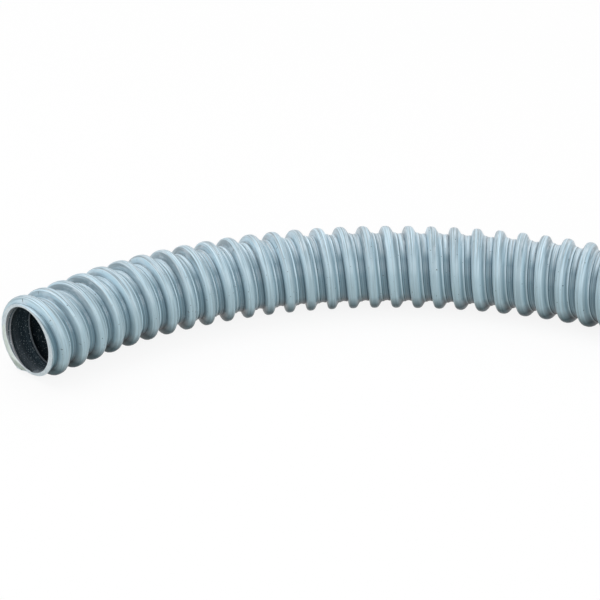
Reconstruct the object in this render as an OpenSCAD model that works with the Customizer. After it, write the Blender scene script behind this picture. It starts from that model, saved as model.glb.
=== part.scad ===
// A length of spiral-ribbed waste hose, laid on a floor in one loose loop.
//
// The hose is two bonded pieces: a thin flexible wall with a smooth bore, and a rigid
// spiral that runs round it from end to end and stands up as the ribs. Each is drawn in
// four stretches that meet face to face: the open end, the free run behind it, the coil,
// and the far end. The two ends are straight and have true round bores.
//
// Frame: millimetres, +Z up. The origin is the centre of the open end's bore, at the cut,
// and the hose leaves it along +X, then bends to the right. The floor is below, level
// with the flats under the ribs.

/* [Wall] */

// Bore of the hose
bore_d = 28.5; // [24:0.5:36]
// Thickness of the flexible wall between the ribs
wall_t = 0.7; // [0.5:0.1:1.2]

/* [Spiral] */

// How far the ribs stand above the wall
rib_h = 3.05; // [2:0.05:4]
// Width of a rib at its foot
rib_w = 5.2; // [3:0.1:6]
// Distance from one rib to the next
rib_pitch = 9.75; // [8:0.05:14]
// Where the rib's crest meets the open end's cut, in degrees from the bore's left side
rib_start = -70; // [-180:1:180]
// Depth to which the ribs are flattened where they rest on the floor
rest_flat = 0.5; // [0.3:0.05:0.8]

/* [Lay] */

// Length of the hose along its centre
hose_l = 1250; // [1100:10:1500]
// Length of the straight stretch at the open end
open_end_l = 18; // [10:1:18]
// Length of the straight stretch at the far end
far_end_l = 36; // [20:1:40]
// Angle through which the loop turns before the hose runs straight to its far end
coil_sweep = 240; // [200:1:246]

/* [Hidden] */

// Sizes that follow from the section
bore_r = bore_d / 2;
wall_r = bore_r + wall_t;
crest_r = wall_r + rib_h;
floor_z = rest_flat - crest_r;
// The spiral is rooted halfway into the wall that it is bonded to
root_r = wall_r - wall_t / 2;

// Sides of the drawn hose, which are also the spiral's steps in one turn
sides = 8;
// Step of the spiral in its straight ends, where the bore under it is truly round
fine_step = 0.5;
// The spiral runs out at a cut where less than this of its foot is left
least_foot = 0.4;
// Turns of the spiral from one ring of the wall to the next
turns_per_ring = 2;
// Smoothness of the true round ends
round_fn = 96;
// How far a bore's cutter reaches past the wall that it cuts
lap = 1;

// ---- Route: a list of points on the floor, and a smooth line along them ----

// Spacing of the points
route_step = 18;
// The free run, from the open end
run_points = [
    [0, 0], [18, 0], [36, 0], [54, -2], [71.5, -6], [88.5, -12], [105, -19.5],
    [120.5, -28.5], [135, -39], [148.5, -51], [161, -64], [172.5, -78], [182.5, -93],
    [191, -108.5], [198, -124.5], [203.5, -141]
];
run_last = len(run_points) - 1;

// The hose straightens over this length behind its straight far end
ease_l = 2 * route_step;
tail_l = far_end_l + ease_l;

// The loop takes up the rest of the hose, and so has its radius from the hose's length.
// It goes on from the run's last point, which lies at this angle from its centre
coil_start = 17;
coil_l = hose_l - run_last * route_step - tail_l;
coil_r = coil_l / (coil_sweep * PI / 180);
coil_centre = run_points[run_last] - coil_r * [cos(coil_start), sin(coil_start)];
coil_count = round(coil_l / route_step);
coil_turn = coil_sweep / coil_count;

// The straight points reach past the cut
tail_count = ceil(tail_l / route_step) + 1;
coil_points = [
    for (i = [1:coil_count])
        let (a = coil_start - i * coil_turn)
        coil_centre + coil_r * [cos(a), sin(a)]
];
tail_angle = coil_start - coil_sweep;
tail_points = [
    for (i = [1:tail_count])
        coil_points[coil_count - 1] + i * route_step * [sin(tail_angle), -cos(tail_angle)]
];
route = concat(run_points, coil_points, tail_points);

// A cubic B-spline along the route, with one more point past each end
route_last = len(route) - 1;
knots = concat(
    [2 * route[0] - route[1]], route, [2 * route[route_last] - route[route_last - 1]]
);
function spline_at(i, t) =
    (pow(1 - t, 3) * knots[i]
    + (3 * pow(t, 3) - 6 * pow(t, 2) + 4) * knots[i + 1]
    + (3 * t + 3 * pow(t, 2) - 3 * pow(t, 3) + 1) * knots[i + 2]
    + pow(t, 3) * knots[i + 3]) / 6;
spline_steps = 6;
line = concat(
    [for (i = [0:route_last - 1], k = [0:spline_steps - 1]) spline_at(i, k / spline_steps)],
    [spline_at(route_last - 1, 1)]
);
line_last = len(line) - 1;

// Distance travelled at each point of the line, and tables of place and direction by it
travel = [
    for (i = 0, s = 0; i <= line_last;
        s = s + (i < line_last ? norm(line[i + 1] - line[i]) : 0), i = i + 1) s
];
function heading_at(i) = line[min(i + 1, line_last)] - line[max(i - 1, 0)];
x_table = [for (i = [0:line_last]) [travel[i], line[i].x]];
y_table = [for (i = [0:line_last]) [travel[i], line[i].y]];
dx_table = [for (i = [0:line_last]) [travel[i], heading_at(i).x / norm(heading_at(i))]];
dy_table = [for (i = [0:line_last]) [travel[i], heading_at(i).y / norm(heading_at(i))]];

// The hose's direction and middle at a distance s, which may lie past either end
function direction(s) =
    let (d = [lookup(s, dx_table), lookup(s, dy_table)]) d / norm(d);
function middle(s) =
    let (c = min(max(s, 0), hose_l))
    [lookup(c, x_table), lookup(c, y_table)] + (s - c) * direction(c);

// A point at a distance s, a radius r and an angle a round the hose from its left side
function on_hose(s, r, a) =
    let (m = middle(s), d = direction(s))
    [m.x - d.y * r * cos(a), m.y + d.x * r * cos(a), r * sin(a)];

// ---- Steps of the spiral ----

// Step 0 stands underneath, by the open end's cut
step_l = rib_pitch / sides;
step_zero_s = (-90 - rib_start) / 360 * rib_pitch;
function step_s(j) = step_zero_s + j * step_l;
function step_angle(j) = -90 + j * 360 / sides;
function step_near(s) = round((s - step_zero_s) / step_l);

// The spiral's first and last steps, and those where its whole foot has left the true bores
first_step = step_near(least_foot - rib_w / 2);
open_step = step_near(open_end_l + rib_w / 2) + 1;
far_step = step_near(hose_l - far_end_l - rib_w / 2) - 1;
last_step = step_near(hose_l + rib_w / 2 - least_foot);

// The run stops where the loop has begun, on a step of the spiral
split_step = round((run_last + 1) * route_step / rib_pitch) * sides;
split_s = step_s(split_step);

// ---- Solids ----

// Closed skin over rings of n points each, which run anticlockwise seen along the hose
module skin(points, n) {
    rings = len(points) / n;
    far = (rings - 1) * n;
    sheet = [
        for (i = [0:rings - 2], k = [0:n - 1])
            let (a = i * n + k, b = i * n + (k + 1) % n)
            each [[a, b, b + n], [a, b + n, a + n]]
    ];
    ends = [for (k = [1:n - 2]) each [[0, k + 1, k], [far, far + k, far + k + 1]]];
    polyhedron(points = points, faces = concat(sheet, ends), convexity = 20);
}

// Rod of radius r that follows the hose from one distance to another
module rod(r, from_s, to_s) {
    count = max(1, round((to_s - from_s) / (turns_per_ring * rib_pitch)));
    skin([
        for (i = [0:count], k = [0:sides - 1])
            on_hose(from_s + (to_s - from_s) * i / count, r, -k * 360 / sides)
    ], sides);
}

// Radius of the rib at a distance from its crest along the hose
function flank_r(d) = crest_r - (crest_r - root_r) * abs(d) / (rib_w / 2);

// Ridge of the spiral over a range of steps, three points to a step, trimmed by both cuts
module ridge(steps) {
    function trim(s) = min(max(s, 0), hose_l);
    skin([
        for (j = steps)
            let (s = step_s(j), a = step_angle(j))
            each [
                on_hose(trim(s + rib_w / 2), root_r, a),
                on_hose(trim(s), flank_r(trim(s) - s), a),
                on_hose(trim(s - rib_w / 2), root_r, a)
            ]
    ], 3);
}

// Stretch of the spiral, flattened where it rests on the floor
module spiral(steps) {
    color("#b4c0c2") difference() {
        ridge(steps);
        translate([-hose_l, -hose_l, floor_z - crest_r])
            cube([2 * hose_l, 2 * hose_l, crest_r]);
    }
}

// Straight stretch of the wall along +X, truly round
module straight_wall(l) {
    color("#9fabae") rotate([0, 90, 0]) difference() {
        cylinder(r = wall_r, h = l, $fn = round_fn);
        translate([0, 0, -lap]) cylinder(r = bore_r, h = l + 2 * lap, $fn = round_fn);
    }
}

// Bent stretch of the wall, from one distance to another
module bent_wall(from_s, to_s) {
    color("#9fabae") difference() {
        rod(wall_r, from_s, to_s);
        rod(bore_r, from_s - lap, to_s + lap);
    }
}

// Puts its children at a distance s, with their +X pointing along the hose
module at_distance(s) {
    d = direction(s);
    translate([middle(s).x, middle(s).y, 0]) rotate([0, 0, atan2(d.y, d.x)]) children();
}

// ---- Pieces ----

module wall_open_end() {
    straight_wall(open_end_l);
}

module wall_run() {
    bent_wall(open_end_l, split_s);
}

module wall_coil() {
    bent_wall(split_s, hose_l - far_end_l);
}

module wall_far_end() {
    at_distance(hose_l - far_end_l) straight_wall(far_end_l);
}

module spiral_open_end() {
    spiral([first_step:fine_step:open_step]);
}

module spiral_run() {
    spiral([open_step:split_step]);
}

module spiral_coil() {
    spiral([split_step:far_step]);
}

module spiral_far_end() {
    spiral([far_step:fine_step:last_step]);
}

// ---- Checks on points, printed ----

// Least gap between two parts of the loop that are more than a quarter turn apart
gap_points = [for (s = [0:rib_pitch:hose_l]) [s, middle(s)]];
loop_gap = min([
    for (p = gap_points, q = gap_points)
        if (q[0] - p[0] > coil_r * PI / 2) norm(q[1] - p[1]) - 2 * crest_r
]);
// Least gap between neighbouring turns of the spiral, foot to foot
turn_gap = min([
    for (j = [0:last_step - 2 * sides])
        norm(on_hose(step_s(j) + rib_w / 2, root_r, step_angle(j))
            - on_hose(step_s(j + sides) - rib_w / 2, root_r, step_angle(j)))
]);
echo(str("hose to itself, least gap in mm: ", loop_gap));
echo(str("spiral to its next turn, least gap in mm: ", turn_gap));
echo(str("ribs: ", hose_l / rib_pitch));

wall_open_end();
wall_run();
wall_coil();
wall_far_end();
spiral_open_end();
spiral_run();
spiral_coil();
spiral_far_end();
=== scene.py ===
"""Looks of a spiral-ribbed waste hose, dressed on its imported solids.

The hose is wound from a soft strip that covers one rigid spiral. One Geometry Nodes tree
winds every skin of it: a section, drawn as points of distance and radius, is carried along
the helix that runs round the hose's centreline. The outer skin, the smooth bore and the
rigid core are that tree with different sections. Sizes are in millimetres until a mesh is
made, and every object stands in the shared frame, in metres.
"""

import logging
import math
from dataclasses import dataclass
from enum import Enum
from functools import partial

import bmesh
import bpy
import numpy as np
from mathutils import Matrix, Vector


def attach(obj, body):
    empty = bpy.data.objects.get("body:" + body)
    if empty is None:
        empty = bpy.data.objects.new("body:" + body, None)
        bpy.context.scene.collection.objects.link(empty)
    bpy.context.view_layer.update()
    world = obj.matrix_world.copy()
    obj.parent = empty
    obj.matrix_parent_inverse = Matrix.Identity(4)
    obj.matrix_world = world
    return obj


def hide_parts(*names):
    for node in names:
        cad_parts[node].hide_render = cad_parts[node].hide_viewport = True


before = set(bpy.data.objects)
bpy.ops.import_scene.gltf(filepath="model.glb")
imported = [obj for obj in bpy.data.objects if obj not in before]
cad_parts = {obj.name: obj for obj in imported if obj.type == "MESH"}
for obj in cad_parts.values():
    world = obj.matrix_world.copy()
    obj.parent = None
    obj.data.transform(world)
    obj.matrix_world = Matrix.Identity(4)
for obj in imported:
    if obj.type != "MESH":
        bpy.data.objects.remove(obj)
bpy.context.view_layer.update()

LOG = logging.getLogger("hose")
MM = 0.001
FULL_TURN = 2 * math.pi
BODY = "root"

# Attribute of the wound skins: place along the strip, place across it, and radius
STRIP = "strip"

# Corners rounded by this many millimetres or less get a single segment
SMALL_ROUND = 0.5
# Greatest share of a side that the arc at one of its ends may take
SIDE_SHARE = 0.49

# Powers of a tone for its red and its blue, so that dark tones have less red
RED_POWER = 1.25
BLUE_POWER = 0.9
# How much each finer octave of the strip's noise counts
OCTAVE_SHARE = 0.6

# Millimetres from a mouth within which its cut is made
CUT_REACH = 36.0
# Metres within which a point lies on the cut
CUT_TOLERANCE = 1e-7
# Millimetres within which two points are joined
WELD = 0.004


# ---- Small tools -------------------------------------------------------------


def linear(hex_code: str) -> tuple[float, float, float, float]:
    """Turns an sRGB hex colour into the linear colour that shaders take.

    Args:
        hex_code: Six hex digits, such as "A9BAC1".

    Returns:
        Linear red, green and blue, with an alpha of one.
    """
    channels = [int(hex_code[i : i + 2], 16) / 255 for i in (0, 2, 4)]
    curve = [c / 12.92 if c <= 0.04045 else ((c + 0.055) / 1.055) ** 2.4 for c in channels]
    return (*curve, 1.0)


def add_node(
    tree: bpy.types.NodeTree, kind: str, takes: dict | None = None, **settings
) -> bpy.types.Node:
    """Adds one node with its settings, values and links.

    Args:
        tree: The node tree that gets the node.
        kind: The node's type name.
        takes: For inputs, by name or number, a value, the socket to link, or the node whose
            first output to link.
        settings: Properties of the node itself.

    Returns:
        The new node.
    """
    node = tree.nodes.new(kind)
    for name, value in settings.items():
        setattr(node, name, value)
    for key, value in (takes or {}).items():
        socket = node.inputs[key]
        if isinstance(value, bpy.types.Node):
            value = value.outputs[0]
        if isinstance(value, bpy.types.NodeSocket):
            tree.links.new(value, socket)
        else:
            socket.default_value = value
    return node


def new_object(name: str, data: bpy.types.ID) -> bpy.types.Object:
    """Puts data into the scene as an object at the origin.

    Args:
        name: The object's name.
        data: The mesh, curve, camera or lamp that it shows.

    Returns:
        The new object.
    """
    made = bpy.data.objects.new(name, data)
    bpy.context.scene.collection.objects.link(made)
    return made


# ---- The hose's sizes and its lay --------------------------------------------


@dataclass(frozen=True)
class HoseSizes:
    """The hose's section and winding, in millimetres and degrees."""

    bore_r: float = 14.25
    wall: float = 0.7
    rib_height: float = 3.05
    pitch: float = 9.75
    length: float = 1250.0
    crest_start: float = -70.0
    rest_flat: float = 0.5
    steps_per_turn: int = 48

    @property
    def wall_r(self) -> float:
        """Outer radius between the ribs."""
        return self.bore_r + self.wall

    @property
    def crest_r(self) -> float:
        """Radius at the top of a rib."""
        return self.wall_r + self.rib_height

    @property
    def floor_z(self) -> float:
        """Height of the floor that the flattened ribs rest on."""
        return self.rest_flat - self.crest_r

    @property
    def strip_per_turn(self) -> float:
        """Length of wound strip in one turn, measured at the wall."""
        return FULL_TURN * self.wall_r


@dataclass
class Lay:
    """The hose's route on the floor: a free run, then one neat loop out of view.

    Sizes are in millimetres and degrees. The route's points are a step apart.
    """

    sizes: HoseSizes
    step: float = 18.0
    ease_steps: int = 2
    curve_steps: int = 6
    far_straight: float = 36.0
    loop_sweep: float = 240.0
    loop_start: float = 17.0
    run: tuple[tuple[float, float], ...] = (
        (0, 0), (18, 0), (36, 0), (54, -2), (71.5, -6), (88.5, -12), (105, -19.5),
        (120.5, -28.5), (135, -39), (148.5, -51), (161, -64), (172.5, -78),
        (182.5, -93), (191, -108.5), (198, -124.5), (203.5, -141),
    )

    def route(self) -> list[tuple[float, float]]:
        """Works out the whole route, with one more point past each end.

        Returns:
            Points on the floor, in millimetres: the run, the loop and the straight tail.
        """
        tail = self.far_straight + self.ease_steps * self.step
        loop = self.sizes.length - (len(self.run) - 1) * self.step - tail
        radius = loop / math.radians(self.loop_sweep)
        start = math.radians(self.loop_start)
        centre = (
            self.run[-1][0] - radius * math.cos(start),
            self.run[-1][1] - radius * math.sin(start),
        )
        count = round(loop / self.step)
        points = [(2 * self.run[0][0] - self.run[1][0], 2 * self.run[0][1] - self.run[1][1])]
        points += list(self.run)
        for i in range(1, count + 1):
            turned = start - i * math.radians(self.loop_sweep) / count
            points.append(
                (centre[0] + radius * math.cos(turned), centre[1] + radius * math.sin(turned))
            )
        end = math.radians(self.loop_start - self.loop_sweep)
        corner = points[-1]
        # Two points past the cut: the curve stops one short of its last point
        for i in range(1, math.ceil(tail / self.step) + 3):
            reach = i * self.step
            points.append((corner[0] + reach * math.sin(end), corner[1] - reach * math.cos(end)))
        return points

    def centreline(self) -> bpy.types.Object:
        """Draws the route as a cubic curve, which the winding tree samples.

        Returns:
            The curve's object.
        """
        curve = bpy.data.curves.new("centreline", "CURVE")
        curve.dimensions = "3D"
        spline = curve.splines.new("NURBS")
        route = self.route()
        spline.points.add(len(route) - 1)
        for point, (x, y) in zip(spline.points, route):
            point.co = (x * MM, y * MM, 0, 1)
        # Order 4 is cubic
        spline.order_u = 4
        spline.use_endpoint_u = False
        spline.resolution_u = self.curve_steps
        return new_object("centreline", curve)

    def path(self, line: bpy.types.Object) -> list[tuple[float, float, float]]:
        """Reads the drawn centreline back as points, cut at the hose's length.

        Args:
            line: The centreline object.

        Returns:
            Points in metres from the open end to the far end.
        """
        seen = line.evaluated_get(bpy.context.evaluated_depsgraph_get())
        mesh = seen.to_mesh()
        points = [v.co.copy() for v in mesh.vertices]
        seen.to_mesh_clear()
        kept, travelled = [points[0]], 0.0
        for a, b in zip(points, points[1:]):
            leg = (b - a).length
            left = self.sizes.length * MM - travelled
            if leg >= left:
                kept.append(a.lerp(b, left / leg))
                break
            kept.append(b)
            travelled += leg
        return [tuple(p) for p in kept]


# ---- The winding tree --------------------------------------------------------


class Winding:
    """A Geometry Nodes tree that winds a section along the hose's helix."""

    def __init__(self, sizes: HoseSizes) -> None:
        """Builds the tree once, for all the sections that are wound with it.

        Args:
            sizes: The hose's sizes.
        """
        self.sizes = sizes
        self.tree = bpy.data.node_groups.new("wound strip", "GeometryNodeTree")
        self._sockets()
        self._nodes()

    def _sockets(self) -> None:
        """Gives the tree its named inputs and its output."""
        inputs = {
            "Centreline": "NodeSocketObject",
            "Section": "NodeSocketObject",
            "First step": "NodeSocketInt",
            "Steps": "NodeSocketInt",
            "Steps per turn": "NodeSocketInt",
            "Pitch": "NodeSocketFloat",
            "Crest start": "NodeSocketFloat",
            "Hose length": "NodeSocketFloat",
            "Strip per turn": "NodeSocketFloat",
            "Floor": "NodeSocketFloat",
            "Material": "NodeSocketMaterial",
        }
        for name, kind in inputs.items():
            self.tree.interface.new_socket(name, in_out="INPUT", socket_type=kind)
        self.tree.interface.new_socket(
            "Geometry", in_out="OUTPUT", socket_type="NodeSocketGeometry"
        )

    def _nodes(self) -> None:
        """Adds and links the nodes, from the section's points to the finished skin."""
        add = partial(add_node, self.tree)
        given = add("NodeGroupInput").outputs
        line = add("GeometryNodeObjectInfo", {"Object": given["Centreline"]})
        section = add("GeometryNodeObjectInfo", {"Object": given["Section"]})
        across = add(
            "GeometryNodeAttributeDomainSize", {0: section.outputs["Geometry"]}, component="MESH"
        ).outputs["Point Count"]
        rings = add("FunctionNodeIntegerMath", {0: given["Steps"], 1: 1}, operation="ADD")
        grid = add("GeometryNodeMeshGrid", {"Vertices X": rings, "Vertices Y": across})

        # Which step of the helix and which point of the section a vertex is
        index = add("GeometryNodeInputIndex")
        step = add("FunctionNodeIntegerMath", {0: index, 1: across}, operation="DIVIDE_FLOOR")
        place = add("FunctionNodeIntegerMath", {0: index, 1: across}, operation="MODULO")
        point = add("GeometryNodeInputPosition")
        shape = add(
            "GeometryNodeSampleIndex",
            {"Geometry": section.outputs["Geometry"], "Value": point, "Index": place},
            data_type="FLOAT_VECTOR",
        )
        offset = add("ShaderNodeSeparateXYZ", {0: shape})
        total = add("FunctionNodeIntegerMath", {0: step, 1: given["First step"]}, operation="ADD")
        turns = add("ShaderNodeMath", {0: total, 1: given["Steps per turn"]}, operation="DIVIDE")

        # Distance along the hose and angle round it
        distance = add(
            "ShaderNodeMath", {0: turns, 1: given["Pitch"], 2: offset.outputs["X"]},
            operation="MULTIPLY_ADD",
        )
        angle = add(
            "ShaderNodeMath", {0: turns, 1: FULL_TURN, 2: given["Crest start"]},
            operation="MULTIPLY_ADD",
        )
        within = add(
            "ShaderNodeClamp", {"Value": distance, "Min": 0.0, "Max": given["Hose length"]}
        )
        past = add("ShaderNodeMath", {0: distance, 1: within}, operation="SUBTRACT")
        middle = add(
            "GeometryNodeSampleCurve",
            {"Curves": line.outputs["Geometry"], "Length": within},
            mode="LENGTH", use_all_curves=False,
        )
        ahead = add("ShaderNodeVectorMath", {0: middle.outputs["Tangent"]}, operation="NORMALIZE")
        centre = add(
            "ShaderNodeVectorMath",
            {0: ahead, 1: past, 2: middle.outputs["Position"]},
            operation="MULTIPLY_ADD",
        )
        left = add(
            "ShaderNodeVectorMath", {0: (0.0, 0.0, 1.0), 1: ahead}, operation="CROSS_PRODUCT"
        )
        sideways, upward = (
            add(
                "ShaderNodeMath",
                {0: add("ShaderNodeMath", {0: angle}, operation=wave),
                 1: offset.outputs["Y"]},
                operation="MULTIPLY",
            )
            for wave in ("COSINE", "SINE")
        )
        resting = add("ShaderNodeMath", {0: upward, 1: given["Floor"]}, operation="MAXIMUM")
        height = add("ShaderNodeCombineXYZ", {"Z": resting})
        lifted = add("ShaderNodeVectorMath", {0: centre, 1: height}, operation="ADD")
        position = add(
            "ShaderNodeVectorMath", {0: left, 1: sideways, 2: lifted}, operation="MULTIPLY_ADD"
        )

        # The strip's own coordinates: how far along it, and how far across
        along = add("ShaderNodeMath", {0: turns, 1: given["Strip per turn"]}, operation="MULTIPLY")
        strip = add(
            "ShaderNodeCombineXYZ", {"X": along, "Y": offset.outputs["X"], "Z": offset.outputs["Y"]}
        )
        # Kept on face corners, so that neighbouring turns keep their own where they are joined
        of_points = add(
            "GeometryNodeFieldOnDomain", {0: strip}, data_type="FLOAT_VECTOR", domain="POINT"
        )
        stored = add(
            "GeometryNodeStoreNamedAttribute",
            {"Geometry": grid.outputs["Mesh"], "Name": STRIP, "Value": of_points},
            data_type="FLOAT_VECTOR", domain="CORNER",
        )
        placed = add("GeometryNodeSetPosition", {"Geometry": stored, "Position": position})
        smooth = add("GeometryNodeSetShadeSmooth", {"Geometry": placed})
        real = add("GeometryNodeRealizeInstances", {"Geometry": smooth})
        dressed = add("GeometryNodeSetMaterial", {"Geometry": real, "Material": given["Material"]})
        add("NodeGroupOutput", {"Geometry": dressed})

    def wind(
        self,
        line: bpy.types.Object,
        section: list[tuple[float, float]],
        first_turn: float,
        last_turn: float,
        material: bpy.types.Material,
        steps_per_turn: int | None = None,
    ) -> bpy.types.Mesh:
        """Winds one section over a range of turns.

        Args:
            line: The hose's centreline.
            section: Points of distance from the crest and radius, in millimetres.
            first_turn: Turn at which the winding starts; turn 0 crosses the open end's cut.
            last_turn: Turn at which it stops.
            material: What the skin is made of.
            steps_per_turn: Steps in one turn, or None for the hose's own.

        Returns:
            The wound skin as a plain mesh.
        """
        steps = steps_per_turn or self.sizes.steps_per_turn
        shape = bpy.data.meshes.new("section")
        shape.from_pydata(
            [(d * MM, r * MM, 0) for d, r in section],
            [(i, i + 1) for i in range(len(section) - 1)], [],
        )
        shape_object = new_object("section", shape)
        carrier = new_object("winding", bpy.data.meshes.new("winding"))
        modifier = carrier.modifiers.new("winding", "NODES")
        modifier.node_group = self.tree
        first = round(first_turn * steps)
        values = {
            "Centreline": line,
            "Section": shape_object,
            "First step": first,
            "Steps": round(last_turn * steps) - first,
            "Steps per turn": steps,
            "Pitch": self.sizes.pitch * MM,
            "Crest start": math.radians(self.sizes.crest_start),
            "Hose length": self.sizes.length * MM,
            "Strip per turn": self.sizes.strip_per_turn * MM,
            "Floor": self.sizes.floor_z * MM,
            "Material": material,
        }
        for item in self.tree.interface.items_tree:
            if item.item_type == "SOCKET" and item.in_out == "INPUT":
                modifier[item.identifier] = values[item.name]
        seen = carrier.evaluated_get(bpy.context.evaluated_depsgraph_get())
        mesh = bpy.data.meshes.new_from_object(seen)
        for spent in (carrier, shape_object):
            bpy.data.objects.remove(spent)
        return mesh


# ---- Sections ----------------------------------------------------------------


def rounded(corners: list[tuple[float, float, float]], steps: int) -> list[tuple[float, float]]:
    """Rounds the corners of an open outline with arcs.

    Args:
        corners: Distance, radius and rounding of each corner, in millimetres.
        steps: Segments in each arc; a small one has a single segment.

    Returns:
        The outline's points.
    """
    made = [corners[0][:2]]
    for before, at, after in zip(corners, corners[1:], corners[2:]):
        here = Vector(at[:2])
        back, ahead = Vector(before[:2]) - here, Vector(after[:2]) - here
        half = back.angle(ahead) / 2
        reach = min(
            at[2] / math.tan(half), SIDE_SHARE * back.length, SIDE_SHARE * ahead.length
        )
        bulge = reach * math.tan(half)
        inward = (back.normalized() + ahead.normalized()).normalized()
        centre = here + inward * math.hypot(reach, bulge)
        start = here + back.normalized() * reach - centre
        swing = start.angle_signed(here + ahead.normalized() * reach - centre)
        segments = steps if at[2] > SMALL_ROUND else 1
        for i in range(segments + 1):
            turned = start.copy()
            turned.rotate(Matrix.Rotation(-swing * i / segments, 2))
            made.append(tuple(centre + turned))
    return made + [corners[-1][:2]]


@dataclass
class StripSection:
    """The soft strip's outer section, from its left edge to the lap over its neighbour.

    Places are millimetres from the rib's crest, and each round is a corner's radius.
    """

    sizes: HoseSizes
    valley: float = -4.3
    valley_dip: float = 0.35
    valley_round: float = 2.0
    tuck: float = -2.65
    tuck_depth: float = 0.38
    tuck_lead: float = 0.25
    tuck_lead_round: float = 0.2
    tuck_round: float = 0.1
    foot_lift: float = 0.2
    plain_foot_round: float = 0.3
    left_foot: float = -2.4
    left_shoulder: float = -1.85
    right_shoulder: float = 1.3
    right_foot: float = 3.0
    lap_edge: float = 4.2
    lap_height: float = 0.2
    lap_lean: float = 0.02
    left_round: float = 1.5
    right_round: float = 1.9
    foot_round: float = 2.0
    lap_round: float = 0.12

    def points(self, steps: int, tucked: bool) -> list[tuple[float, float]]:
        """Works out the section's points.

        Args:
            steps: Segments in each large arc.
            tucked: True where the fine groove along the rib's left foot is wanted.

        Returns:
            Points of distance and radius, from left to right.
        """
        low, high = self.sizes.wall_r, self.sizes.crest_r
        lap = low + self.lap_height
        foot = [(self.left_foot, low, self.plain_foot_round)]
        if tucked:
            foot = [
                (self.valley, low - self.valley_dip, self.valley_round),
                (self.tuck - self.tuck_lead, low, self.tuck_lead_round),
                (self.tuck, low - self.tuck_depth, self.tuck_round),
                (self.left_foot, low + self.foot_lift, self.tuck_round),
            ]
        return rounded(
            [
                (self.lap_edge - self.sizes.pitch, low, 0),
                *foot,
                (self.left_shoulder, high, self.left_round),
                (self.right_shoulder, high, self.right_round),
                (self.right_foot, lap, self.foot_round),
                (self.lap_edge - self.lap_lean, lap, self.lap_round),
                (self.lap_edge, low, 0),
            ],
            steps,
        )


# ---- Finishes ----------------------------------------------------------------


def across_tone(
    tree: bpy.types.NodeTree, distance: bpy.types.NodeSocket, tones: tuple[tuple[float, float], ...]
) -> bpy.types.NodeSocket:
    """Gives a wound skin its tones across the strip.

    Args:
        tree: The material's node tree.
        distance: Distance across the strip, in metres.
        tones: Distances in millimetres with their tones, from left to right.

    Returns:
        The tone as a colour, where white is the body colour unchanged.
    """
    low, high = tones[0][0], tones[-1][0]
    place = add_node(tree, "ShaderNodeMapRange", {"Value": distance, 1: low * MM, 2: high * MM})
    ramp = add_node(tree, "ShaderNodeValToRGB", {"Fac": place})
    stops = ramp.color_ramp.elements
    for index, (at, tone) in enumerate(tones):
        where = (at - low) / (high - low)
        last = index == len(tones) - 1
        stop = stops[0] if index == 0 else stops[-1] if last else stops.new(where)
        stop.position = where
        stop.color = (tone**RED_POWER, tone, tone**BLUE_POWER, 1)
    return ramp.outputs["Color"]


def strip_noise(
    tree: bpy.types.NodeTree, length: float, width: float, detail: float
) -> bpy.types.NodeSocket:
    """Makes noise that follows the strip.

    Args:
        tree: The material's node tree.
        length: Size of the noise along the strip, in millimetres.
        width: Its size across the strip, in millimetres.
        detail: Octaves of finer noise.

    Returns:
        The noise, about 0.5 on average.
    """
    strip = add_node(tree, "ShaderNodeAttribute", attribute_name=STRIP).outputs["Vector"]
    scaled = add_node(
        tree, "ShaderNodeMapping",
        {"Vector": strip, "Scale": (1 / (length * MM), 1 / (width * MM), 0.0)},
    )
    return add_node(
        tree, "ShaderNodeTexNoise",
        {"Vector": scaled, "Scale": 1.0, "Detail": detail, "Roughness": OCTAVE_SHARE},
    ).outputs["Fac"]


class Blend(Enum):
    """What a skin's two sets of tones are blended by, with its axis."""

    HEIGHT = "Z"
    DEPTH = "X"


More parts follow.
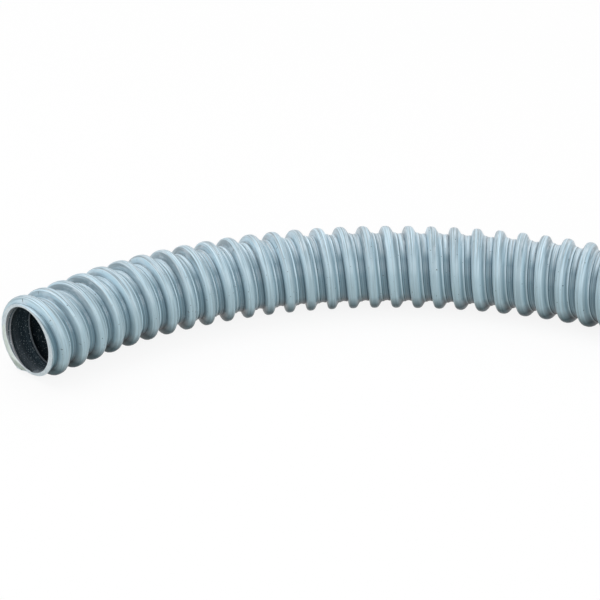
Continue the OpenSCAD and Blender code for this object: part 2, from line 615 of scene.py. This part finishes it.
@dataclass(frozen=True)
class StripPvc:
    """Extruded flexible PVC: satin gloss, with faint flow streaks along the strip.

    The rib has the pale rigid core under it, and the thin wall between the ribs has the dark
    bore, so the wall looks darker. The tones across also hold painted shade, in the creases at the
    rib's feet and under the lap's edge, and painted highlights on the rib's left flank and the
    lap's edge. On top the tones are painted light, paler where light falls from above, with
    painted glints. Underneath, painted shade darkens it where it lies on the floor, most in the
    hollows. Tones are parts of the body colour, by millimetres across.

    The streaks of a real hose are about 0.3 mm wide and its dust is finer than 0.3 mm. Both
    are drawn coarser, so that they show.
    """

    name: str = "flexible PVC, extruded"
    body: str = "A0B8C4"
    roughness: float = 0.28
    ior: float = 1.54
    streak_length: float = 38.0
    streak_width: float = 0.85
    streak_detail: float = 3.0
    streak_from: float = 0.4
    streak_to: float = 0.6
    streak_depth: float = 0.15
    top_streak_depth: float = 0.4
    groove_depth: float = 0.12
    speck: float = 0.8
    speck_from: float = 0.79
    speck_blur: float = 0.06
    speck_share: float = 0.9
    speck_colour: str = "3C474E"
    # Partly the strip's own tone, partly painted: painted shade in the creases at the rib's feet and
    # under the lap's edge, painted highlights on the left flank and the lap's edge
    tones: tuple[tuple[float, float], ...] = (
        (-5.55, 0.26), (-5.2, 0.7), (-4.7, 0.4), (-4.3, 0.68), (-3.9, 0.42), (-3.0, 0.44),
        (-2.6, 0.22), (-2.4, 0.75), (-2.2, 1.25), (-1.5, 1.1), (-0.6, 1.02), (1.2, 1.02),
        (1.7, 1.1), (2.2, 1.0), (2.7, 0.7), (3.2, 0.62), (3.6, 1.15), (3.95, 1.1), (4.2, 0.3),
    )
    # Painted light on top, where light falls from above: paler hollows, painted highlight lines on
    # the rib, and painted shade at its left foot
    top_tones: tuple[tuple[float, float], ...] = (
        (-5.55, 0.5), (-5.2, 1.15), (-4.5, 1.3), (-3.4, 1.24), (-2.9, 0.94), (-2.6, 0.46),
        (-2.4, 1.0), (-2.1, 1.15), (-1.85, 1.0), (-1.65, 1.45), (-1.45, 1.0), (-0.3, 0.92),
        (0.15, 0.86), (0.4, 1.3), (0.65, 0.86), (1.6, 0.9), (2.2, 0.9), (2.7, 1.08),
        (3.2, 0.94), (3.6, 1.28), (3.95, 1.28), (4.2, 0.5),
    )
    blend: Blend = Blend.HEIGHT
    top_from: float = 9.0
    top_to: float = 15.5
    # Painted shade underneath, where the hose lies on the floor: the heights over which it comes in,
    # and its colour
    low_from: float = -7.0
    low_to: float = -12.5
    under_shade: str = "7A898C"
    shine: float = 0.5
    low_shine: float = 0.05
    # Painted glints: short pale dashes on top, where light falls from above
    glint: str = "DDE7EE"
    glint_length: float = 7.0
    glint_width: float = 0.6
    glint_detail: float = 2.0
    glint_from: float = 0.5
    glint_to: float = 0.66
    glint_share: float = 0.5

    def material(self) -> bpy.types.Material:
        """Builds the material.

        Returns:
            A material that reads the strip's own coordinates.
        """
        made = bpy.data.materials.new(self.name)
        made.use_nodes = True
        tree = made.node_tree
        tree.nodes.clear()
        add = partial(add_node, tree)
        strip = add("ShaderNodeAttribute", attribute_name=STRIP).outputs["Vector"]
        own = add("ShaderNodeSeparateXYZ", {0: strip}).outputs
        place = add("ShaderNodeTexCoord").outputs["Object"]
        spot = add("ShaderNodeSeparateXYZ", {0: place}).outputs
        # Painted light: the second set of tones takes over on top of the outer skin, and near the
        # mouth in the bore
        upper = add(
            "ShaderNodeMapRange",
            {"Value": spot[self.blend.value], 1: self.top_from * MM, 2: self.top_to * MM},
        )
        across = add(
            "ShaderNodeMix",
            {0: upper, 6: across_tone(tree, own["Y"], self.tones),
             7: across_tone(tree, own["Y"], self.top_tones)},
            data_type="RGBA",
        ).outputs[2]

        # Painted shade underneath, where the hose lies on the ground, deepest in the hollows
        lower = add(
            "ShaderNodeMapRange", {"Value": spot["Z"], 1: self.low_from * MM, 2: self.low_to * MM}
        )
        shade_tint = add(
            "ShaderNodeVectorMath", {0: across, 1: linear(self.under_shade)[:3]}, operation="MULTIPLY"
        )
        deep_shade = add("ShaderNodeVectorMath", {0: across, 1: shade_tint}, operation="MULTIPLY")
        across = add("ShaderNodeMix", {0: lower, 6: across, 7: deep_shade}, data_type="RGBA").outputs[2]

        # Flow streaks that the die leaves, as slight changes of tone and as fine grooves
        streaks = strip_noise(tree, self.streak_length, self.streak_width, self.streak_detail)
        centred = add(
            "ShaderNodeMapRange",
            {"Value": streaks, 1: self.streak_from, 2: self.streak_to, 3: -1.0, 4: 1.0},
        )
        # The streaks are the strip's own, but their tone swings further on top, where it stands for
        # painted glints on them
        depth = add(
            "ShaderNodeMapRange", {"Value": upper, 3: self.streak_depth, 4: self.top_streak_depth}
        )
        lively = add("ShaderNodeMath", {0: centred, 1: depth, 2: 1.0}, operation="MULTIPLY_ADD")
        tone = add("ShaderNodeVectorMath", {0: across, 1: lively}, operation="MULTIPLY")
        body = add(
            "ShaderNodeVectorMath", {0: tone, 1: linear(self.body)[:3]}, operation="MULTIPLY"
        )

        # Painted glints: short pale dashes along the strip, on top only, where light falls from
        # above
        marks = strip_noise(tree, self.glint_length, self.glint_width, self.glint_detail)
        glint_mask = add(
            "ShaderNodeMapRange",
            {"Value": marks, 1: self.glint_from, 2: self.glint_to, 4: self.glint_share},
        )
        glints_on_top = add("ShaderNodeMath", {0: glint_mask, 1: upper}, operation="MULTIPLY")
        body = add(
            "ShaderNodeMix", {0: glints_on_top, 6: body, 7: linear(self.glint)}, data_type="RGBA"
        ).outputs[2]

        # Specks of dust
        dust = strip_noise(tree, self.speck, self.speck, 0.0)
        shown = add(
            "ShaderNodeMapRange",
            {"Value": dust, 1: self.speck_from, 2: self.speck_from + self.speck_blur,
             4: self.speck_share},
        )
        coloured = add(
            "ShaderNodeMix", {0: shown, 6: body, 7: linear(self.speck_colour)}, data_type="RGBA"
        ).outputs[2]
        bump = add("ShaderNodeBump", {"Height": streaks, "Distance": self.groove_depth * MM})
        # Underneath, with the painted shade, the specular level is lowered, so it mirrors little of
        # the ground
        shine = add("ShaderNodeMapRange", {"Value": lower, 3: self.shine, 4: self.low_shine})
        shader = add(
            "ShaderNodeBsdfPrincipled",
            {"Base Color": coloured, "Roughness": self.roughness, "IOR": self.ior,
             "Specular IOR Level": shine, "Normal": bump},
        )
        add("ShaderNodeOutputMaterial", {"Surface": shader})
        return made


# The bore: its body colour, darker than the outer skin's, is painted shade inside the hose.
# The ledge of each seam has a painted highlight, between lines of painted shadow. Light comes
# in through the thin wall near the mouth, and there the bore is painted paler. It has no
# painted glints, and its range of heights for the painted shade underneath lies below the
# floor, so it has none of that either
INNER_TONES = (
    (-4.88, 0.5), (-2.4, 0.55), (-2.0, 0.75), (-0.9, 0.8), (-0.7, 0.2), (-0.3, 0.2),
    (-0.15, 2.6), (0.56, 2.8), (0.62, 0.15), (1.3, 0.25), (2.0, 0.5), (4.87, 0.5),
)
MOUTH_TONES = (
    (-4.88, 2.4), (-2.4, 2.8), (-2.0, 4.0), (-0.9, 4.4), (-0.7, 1.0), (-0.3, 1.0),
    (-0.15, 4.0), (0.56, 4.0), (0.62, 0.4), (1.3, 1.2), (2.0, 2.0), (4.87, 2.4),
)
# The bore's dark body colour is painted shade inside the hose; its tones paint highlights and
# shadows at the seams, and light near the mouth
INNER = StripPvc(
    name="flexible PVC, inner face", body="414F58", roughness=0.34, streak_depth=0.2,
    top_streak_depth=0.3, speck=0.55, speck_from=0.7, speck_colour="C4CED2",
    tones=INNER_TONES, top_tones=MOUTH_TONES, blend=Blend.DEPTH, top_from=6.5, top_to=2.0,
    low_from=-30.0, low_to=-40.0, glint_share=0.0,
)


@dataclass(frozen=True)
class CutPvc:
    """PVC as a saw leaves it: matt, with a faint mottle and fine saw marks."""

    name: str
    body: str
    worn: str
    roughness: float = 0.55
    ior: float = 1.54
    mottle: float = 1.8
    mottle_detail: float = 4.0
    mottle_octave_share: float = 0.65
    mottle_from: float = 0.35
    mottle_to: float = 0.65
    mark_depth: float = 0.1
    mark_strength: float = 0.5

    def material(self) -> bpy.types.Material:
        """Builds the material.

        Returns:
            A material on object coordinates.
        """
        made = bpy.data.materials.new(self.name)
        made.use_nodes = True
        tree = made.node_tree
        tree.nodes.clear()
        add = partial(add_node, tree)
        place = add("ShaderNodeTexCoord").outputs["Object"]
        mottle = add(
            "ShaderNodeTexNoise",
            {"Vector": place, "Scale": 1 / (self.mottle * MM), "Detail": self.mottle_detail,
             "Roughness": self.mottle_octave_share},
        ).outputs["Fac"]
        spread = add(
            "ShaderNodeMapRange", {"Value": mottle, 1: self.mottle_from, 2: self.mottle_to}
        )
        tone = add(
            "ShaderNodeMix",
            {0: spread, 6: linear(self.worn), 7: linear(self.body)},
            data_type="RGBA",
        )
        bump = add(
            "ShaderNodeBump",
            {"Height": mottle, "Strength": self.mark_strength,
             "Distance": self.mark_depth * MM},
        )
        shader = add(
            "ShaderNodeBsdfPrincipled",
            {"Base Color": tone.outputs[2], "Roughness": self.roughness, "IOR": self.ior,
             "Normal": bump},
        )
        add("ShaderNodeOutputMaterial", {"Surface": shader})
        return made


# ---- The hose ----------------------------------------------------------------


class Stretch(Enum):
    """Parts of the hose by how finely their skin is wound: segments in each arc."""

    MOUTH = 6
    RUN = 3
    LOOP = 1


def trim(shell: bmesh.types.BMesh, place: Vector, outward: Vector) -> list[bmesh.types.BMEdge]:
    """Cuts off what stands past one mouth.

    Args:
        shell: The open skins of the hose.
        place: Centre of the mouth, in metres.
        outward: Direction out of the mouth.

    Returns:
        The edges round the cut.
    """
    # Dictionaries, because a set's order would differ from run to run
    near = dict.fromkeys(v for v in shell.verts if (v.co - place).length < CUT_REACH * MM)
    faces = [f for f in shell.faces if all(v in near for v in f.verts)]
    edges = dict.fromkeys(e for f in faces for e in f.edges)
    cut = bmesh.ops.bisect_plane(
        shell, geom=[*near, *edges, *faces], plane_co=place, plane_no=outward,
        clear_outer=True, dist=CUT_TOLERANCE,
    )
    return [e for e in cut["geom_cut"] if isinstance(e, bmesh.types.BMEdge)]


def closed_piece(
    name: str,
    parts: list[tuple[bpy.types.Mesh, int]],
    mouths: list[tuple[Vector, Vector]],
    materials: list[bpy.types.Material],
    cut_index: int,
) -> bpy.types.Object:
    """Joins wound skins, trims them at both mouths and closes them.

    Args:
        name: The piece's name.
        parts: Each skin with the index of its material.
        mouths: Centre and outward direction of each mouth.
        materials: The piece's materials.
        cut_index: Index of the cut faces' material.

    Returns:
        The closed piece.
    """
    shell = bmesh.new()
    for part, index in parts:
        before = len(shell.faces)
        shell.from_mesh(part)
        shell.faces.ensure_lookup_table()
        for face in shell.faces[before:]:
            face.material_index = index
    bmesh.ops.remove_doubles(shell, verts=shell.verts, dist=WELD * MM)
    for place, outward in mouths:
        rim = trim(shell, place, outward)
        filled = bmesh.ops.triangle_fill(shell, edges=rim, use_beauty=True, normal=outward)
        for face in filled["geom"]:
            if isinstance(face, bmesh.types.BMFace):
                face.material_index, face.smooth = cut_index, False
    open_edges = [e for e in shell.edges if e.is_boundary]
    LOG.info("%s: %d open edges before they are closed", name, len(open_edges))
    bmesh.ops.holes_fill(shell, edges=open_edges, sides=0)
    bmesh.ops.recalc_face_normals(shell, faces=shell.faces)
    mesh = bpy.data.meshes.new(name)
    shell.to_mesh(mesh)
    left_open = sum(not e.is_manifold for e in shell.edges)
    triangles = sum(len(f.verts) - 2 for f in shell.faces)
    LOG.info("%s: %d triangles, %d open edges", name, triangles, left_open)
    shell.free()
    for material in materials:
        mesh.materials.append(material)
    return new_object(name, mesh)


@dataclass
class CutEnd:
    """How the open end was cut: the rib stops at a notch, and a thick lip runs on from it.

    Turns are turns of the strip from the open end's cut. Other sizes are in millimetres.
    """

    sizes: HoseSizes
    reach: float = 7.0
    least_wall: float = 0.2
    notch_turn: float = -0.039
    notch_gap: float = 0.001
    notch_r: float = 14.7
    full_turn: float = 0.02
    full_margin: float = 0.1
    lap_edge: float = 4.2
    lap_lift: float = 0.4
    lip_reach: float = 4.0
    rim_turns: float = 0.5
    rim_reach: float = 3.0
    rim_slope: float = 1.4
    rim: tuple[tuple[float, float], ...] = (
        (0.02, 18.1), (0.1, 17.9), (0.19, 17.0), (0.25, 16.4), (0.3, 15.9), (0.38, 15.6),
    )
    lip: tuple[tuple[float, float], ...] = (
        (0, 15.2), (20, 15.4), (57, 16.4), (92, 16.9), (127, 16.2), (162, 15.3), (185, 15.1),
        (219, 15.6), (262, 16.2), (300, 16.3), (360, 15.2),
    )

    def lip_radius(self, past_notch: float, distance: float) -> float:
        """Radius of the lip.

        Args:
            past_notch: Degrees from the notch, clockwise as one looks into the mouth.
            distance: Millimetres behind the cut.

        Returns:
            The lip's outer radius, which eases down to the wall's, and 0 past the lip's end.
        """
        if distance > self.lip_reach:
            return 0.0
        angles, radii = zip(*self.lip)
        rise = float(np.interp(past_notch, angles, radii)) - self.sizes.wall_r
        fade = max(distance, 0.0) / self.lip_reach
        return self.sizes.wall_r + rise * (1 - fade * fade * (3 - 2 * fade))

    def rib_cap(self, turn: float) -> float:
        """Greatest radius of the rib, which slopes down to the notch where it ends."""
        full_r = self.sizes.crest_r + self.full_margin
        return float(np.interp(turn, (self.notch_turn, self.full_turn), (self.notch_r, full_r)))

    def shape(self, mesh: bpy.types.Mesh, steps: int, inside: float = 0.0) -> None:
        """Shapes a wound skin of the straight open end.

        Args:
            mesh: The skin, which is changed in place.
            steps: Its steps per turn.
            inside: How far it lies inside the outer skin, in millimetres; 0 is the outer
                skin, which has the lip.
        """
        strip = mesh.attributes[STRIP].data
        own = {loop.vertex_index: strip[loop.index].vector for loop in mesh.loops}
        wall_r, least_r = self.sizes.wall_r, self.sizes.bore_r + self.least_wall
        for vertex in mesh.vertices:
            along, across, radius = (x / MM for x in own[vertex.index])
            turn = along / self.sizes.strip_per_turn
            distance = turn * self.sizes.pitch + across
            if distance > self.reach:
                continue
            step = round(turn * steps)
            # Before the notch there is no rib. The steps beside it move up to its two sides
            if not inside and step < -1:
                top = wall_r + self.lap_lift
                radius = min(radius, top if 0 < across < self.lap_edge else wall_r)
                if step == -2:
                    turn = self.notch_turn - self.notch_gap
            elif step < 1:
                if step == -1:
                    turn = self.notch_turn + self.notch_gap
                radius = min(radius, max(self.rib_cap(turn) - inside, least_r))
            elif turn < self.rim_turns and distance < self.rim_reach:
                rim = float(np.interp(turn, *zip(*self.rim))) + self.rim_slope * max(distance, 0)
                radius = min(radius, max(rim - inside, least_r))
            past_notch = ((self.notch_turn - turn) * 360) % 360
            if not inside:
                radius = max(radius, self.lip_radius(past_notch, distance))
            angle = math.radians(self.sizes.crest_start) + turn * FULL_TURN
            vertex.co = Vector((
                distance, radius * math.cos(angle), max(radius * math.sin(angle), self.sizes.floor_z)
            )) * MM


@dataclass
class Hose:
    """The whole hose: outer skin, bore and cut faces in one closed mesh.

    Turns are counted from the open end. The fine stretches are the ones that are seen. The
    skins are wound past both cuts, which then trim them.
    """

    sizes: HoseSizes
    winding: Winding
    skin: StripPvc = StripPvc()
    bore: StripPvc = INNER
    edge: CutPvc = CutPvc("flexible PVC, cut", "EAF1F7", "CFDAE3")
    mouth_turns: int = 2
    fine_turns: int = 30
    far_turns: int = 2
    bore_turns: int = 8
    far_bore_turns: int = 4
    seam: float = 0.7
    seam_height: float = 0.35
    ramp_start: float = -1.4
    ramp_rise: float = 0.03
    ledge_foot: float = 0.45
    ledge_lip: float = 0.05
    ledge_start: float = 0.35
    ledge_end: float = 0.08
    face_inset: float = 0.05
    past_cut: int = 1

    def bore_section(self, plain: bool) -> list[tuple[float, float]]:
        """The bore's section, with a seam under the rib.

        Args:
            plain: True for the stretch that is too deep to see, which has no seam.

        Returns:
            Points of distance and radius.
        """
        half, r = self.sizes.pitch / 2, self.sizes.bore_r
        if plain:
            return [(-half, r), (half, r)]
        high = r - self.seam_height
        return [
            (-half, r), (self.ramp_start, r - self.ramp_rise),
            (self.seam - self.ledge_foot, high + self.ledge_lip),
            (self.seam - self.ledge_start, high), (self.seam - self.ledge_end, high),
            (self.seam, r), (half, r),
        ]

    def build(
        self, line: bpy.types.Object, mouths: list[tuple[Vector, Vector]]
    ) -> bpy.types.Object:
        """Winds the skins, trims them at both cuts and closes the cut faces.

        Args:
            line: The hose's centreline.
            mouths: Centre and outward direction of each mouth.

        Returns:
            The finished piece.
        """
        soft, inner, cut = self.skin.material(), self.bore.material(), self.edge.material()
        section = StripSection(self.sizes)
        turns = self.sizes.length / self.sizes.pitch
        start, end = -self.past_cut, turns + self.past_cut
        parts = []
        stops = (start, self.mouth_turns, self.fine_turns, turns - self.far_turns, end)
        stretches = (Stretch.MOUTH, Stretch.RUN, Stretch.LOOP, Stretch.RUN)
        for first, last, stretch in zip(stops, stops[1:], stretches):
            outline = section.points(stretch.value, stretch is not Stretch.LOOP)
            skin = self.winding.wind(line, outline, first, last, soft)
            if stretch is Stretch.MOUTH:
                CutEnd(self.sizes).shape(skin, self.sizes.steps_per_turn)
            parts.append((skin, 0))
        stops = (start, self.bore_turns, turns - self.far_bore_turns, end)
        for first, last, plain in zip(stops, stops[1:], (False, True, False)):
            lining = self.winding.wind(line, self.bore_section(plain), first, last, inner)
            parts.append((lining, 1))
        inset = [(place - self.face_inset * MM * outward, outward) for place, outward in mouths]
        return closed_piece("ribbed_hose", parts, inset, [soft, inner, cut], 2)


@dataclass
class RigidCore:
    """The rigid spiral inside the ribs, which shows where the cuts cross it."""

    sizes: HoseSizes
    winding: Winding
    finish: CutPvc = CutPvc("rigid PVC, cut", "F2F8F5", "DDE6E1")
    half_foot: float = 2.15
    foot_round: float = 0.3
    half_top: float = 1.75
    left_round: float = 1.2
    right_round: float = 1.4
    right_inset: float = 0.45
    low_r: float = 14.45
    high_r: float = 17.75
    skin: float = 0.2
    past_cut: float = 0.5
    steps_per_turn: int = 24

    def build(
        self, line: bpy.types.Object, mouths: list[tuple[Vector, Vector]]
    ) -> bpy.types.Object:
        """Winds the core from the notch to the far cut.

        Args:
            line: The hose's centreline.
            mouths: Centre and outward direction of each mouth.

        Returns:
            The finished piece.
        """
        material = self.finish.material()
        loop = rounded(
            [
                (0, self.low_r, 0),
                (-self.half_foot, self.low_r, self.foot_round),
                (-self.half_top, self.high_r, self.left_round),
                (self.half_top - self.right_inset, self.high_r, self.right_round),
                (self.half_foot, self.low_r, self.foot_round),
                (0, self.low_r, 0),
            ],
            1,
        )
        # The notch is one step before the open end's cut
        first = -1 / self.steps_per_turn
        last = self.sizes.length / self.sizes.pitch + self.past_cut
        core = self.winding.wind(line, loop, first, last, material, self.steps_per_turn)
        CutEnd(self.sizes).shape(core, self.steps_per_turn, self.skin)
        return closed_piece("rigid_spiral", [(core, 0)], mouths, [material], 0)


# ---- Stage -------------------------------------------------------------------


@dataclass(frozen=True)
class Viewpoint:
    """Where the camera stands, in millimetres and degrees. Clipping is in metres."""

    target: tuple[float, float] = (103.63, -53.39)
    distance: float = 781.0
    elevation: float = 25.4
    heading: float = 45.54
    roll: float = -0.78
    field_of_view: float = 18.48
    sensor: float = 36.0
    clip_start: float = 0.01
    clip_end: float = 20.0

    def camera(self) -> bpy.types.Object:
        """Makes the camera and hands it to the scene.

        Returns:
            The camera's object.
        """
        rise, turn = math.radians(self.elevation), math.radians(self.heading)
        level = Vector((math.cos(turn), math.sin(turn), 0))
        ahead = level * math.cos(rise) - Vector((0, 0, math.sin(rise)))
        right = Vector((level.y, -level.x, 0))
        up = right.cross(ahead)
        lean = math.radians(self.roll)
        across = right * math.cos(lean) + up * math.sin(lean)
        upright = -right * math.sin(lean) + up * math.cos(lean)
        place = Vector((*self.target, 0)) - self.distance * ahead
        lens = bpy.data.cameras.new("camera")
        lens.sensor_width = self.sensor
        lens.angle = math.radians(self.field_of_view)
        lens.clip_start = self.clip_start
        lens.clip_end = self.clip_end
        made = new_object("camera", lens)
        made.matrix_world = Matrix.Translation(place * MM) @ Matrix(
            (across, upright, -ahead)
        ).transposed().to_4x4()
        bpy.context.scene.camera = made
        return made


@dataclass(frozen=True)
class Softbox:
    """One square lamp, by the direction that its light comes from, in degrees and metres."""

    name: str
    azimuth: float
    elevation: float
    radiance: float
    distance: float = 1.7
    size: float = 1.4

    def hang(self, aim: Vector) -> bpy.types.Object:
        """Hangs the lamp and points it at the hose.

        Args:
            aim: The point that the lamp faces, in metres.

        Returns:
            The lamp's object.
        """
        lamp = bpy.data.lights.new(self.name, "AREA")
        lamp.size = self.size
        lamp.energy = self.radiance * math.pi * self.size**2
        turn, rise = math.radians(self.azimuth), math.radians(self.elevation)
        towards = Vector(
            (math.cos(turn) * math.cos(rise), math.sin(turn) * math.cos(rise), math.sin(rise))
        )
        made = new_object(self.name, lamp)
        made.location = aim + self.distance * towards
        made.rotation_euler = (-towards).to_track_quat("-Z", "Y").to_euler()
        made.visible_camera = False
        return made


@dataclass
class Studio:
    """A plain pale floor, soft light and a white background. Its own sizes are in metres."""

    sizes: HoseSizes
    half_floor: float = 3.0
    aim: tuple[float, float, float] = (0.11, -0.06, 0.0)
    fill: float = 0.04
    board: str = "B9C2BA"
    board_white: float = 0.88
    lamps: tuple[Softbox, ...] = (
        Softbox("back left", 125, 48, 1.4),
        Softbox("behind", 60, 48, 1.1),
        Softbox("overhead", 45, 86, 1.25),
        Softbox("front right", -85, 22, 2.7),
        Softbox("left", 180, 24, 1.2),
        Softbox("front", 225, 24, 1.2),
        Softbox("right", 10, 30, 0.7),
    )

    def build(self) -> None:
        """Lays the floor and hangs the lights."""
        self._floor()
        self._world()
        for lamp in self.lamps:
            lamp.hang(Vector(self.aim))

    def _floor(self) -> None:
        """Lays the floor level with the underside of the hose."""
        mesh = bpy.data.meshes.new("floor")
        half, z = self.half_floor, self.sizes.floor_z * MM
        mesh.from_pydata(
            [(-half, -half, z), (half, -half, z), (half, half, z), (-half, half, z)],
            [], [(0, 1, 2, 3)],
        )
        floor = new_object("floor", mesh)
        made = bpy.data.materials.new("matt white board")
        made.use_nodes = True
        tree = made.node_tree
        tree.nodes.clear()
        add = partial(add_node, tree)
        board = add("ShaderNodeBsdfDiffuse", {"Color": linear(self.board)})
        white = add("ShaderNodeBsdfDiffuse", {"Color": (1, 1, 1, 1)})
        glow = add("ShaderNodeEmission", {"Color": (1, 1, 1, 1), "Strength": 1.0})
        seen = add("ShaderNodeMixShader", {0: self.board_white, 1: white, 2: glow})
        mixed = add("ShaderNodeMixShader", {0: self._direct(tree), 1: board, 2: seen})
        add("ShaderNodeOutputMaterial", {"Surface": mixed})
        mesh.materials.append(made)

    def _direct(self, tree: bpy.types.NodeTree) -> bpy.types.NodeSocket:
        """Finds the rays that show the background: seen directly, reflected or let through.

        Args:
            tree: The node tree of the floor's material or of the world.

        Returns:
            A socket that gives 1 for those rays and 0 for the light on the object.
        """
        add = partial(add_node, tree)
        ray = add("ShaderNodeLightPath").outputs
        through = add(
            "ShaderNodeMath", {0: ray["Is Glossy Ray"], 1: ray["Is Transmission Ray"]},
            operation="MAXIMUM",
        )
        return add(
            "ShaderNodeMath", {0: ray["Is Camera Ray"], 1: through}, operation="MAXIMUM"
        ).outputs[0]

    def _world(self) -> None:
        """Lights the scene evenly and shows white behind the object."""
        world = bpy.data.worlds.new("studio")
        world.use_nodes = True
        tree = world.node_tree
        tree.nodes.clear()
        add = partial(add_node, tree)
        fill = add("ShaderNodeBackground", {"Color": (1, 1, 1, 1), "Strength": self.fill})
        white = add("ShaderNodeBackground", {"Color": (1, 1, 1, 1), "Strength": 1.0})
        mixed = add("ShaderNodeMixShader", {0: self._direct(tree), 1: fill, 2: white})
        add("ShaderNodeOutputWorld", {"Surface": mixed})
        bpy.context.scene.world = world


def main() -> None:
    """Builds the hose and its stage, and puts each piece on the body in place of its parts."""
    logging.basicConfig(level=logging.INFO, format="%(name)s: %(message)s")
    bpy.context.scene.view_settings.view_transform = "Standard"
    sizes = HoseSizes()
    Viewpoint().camera()
    lay = Lay(sizes)
    line = lay.centreline()
    path = lay.path(line)
    ahead = Vector(path[-1]) - Vector(path[-2])
    mouths = [(Vector(path[0]), Vector((-1, 0, 0))), (Vector(path[-1]), ahead.normalized())]
    winding = Winding(sizes)
    hose = Hose(sizes, winding).build(line, mouths)
    core = RigidCore(sizes, winding).build(line, mouths)
    bpy.data.objects.remove(line)
    spirals = [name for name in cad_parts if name.startswith("spiral")]
    walls = [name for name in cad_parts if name.startswith("wall")]
    for piece, nodes, slot in ((hose, walls, "wall"), (core, spirals, "spiral")):
        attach(piece, BODY)
        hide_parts(*nodes)
        LOG.info("%s: %d faces", piece.name, len(piece.data.polygons))
    Studio(sizes).build()


if __name__ == "__main__":
    main()
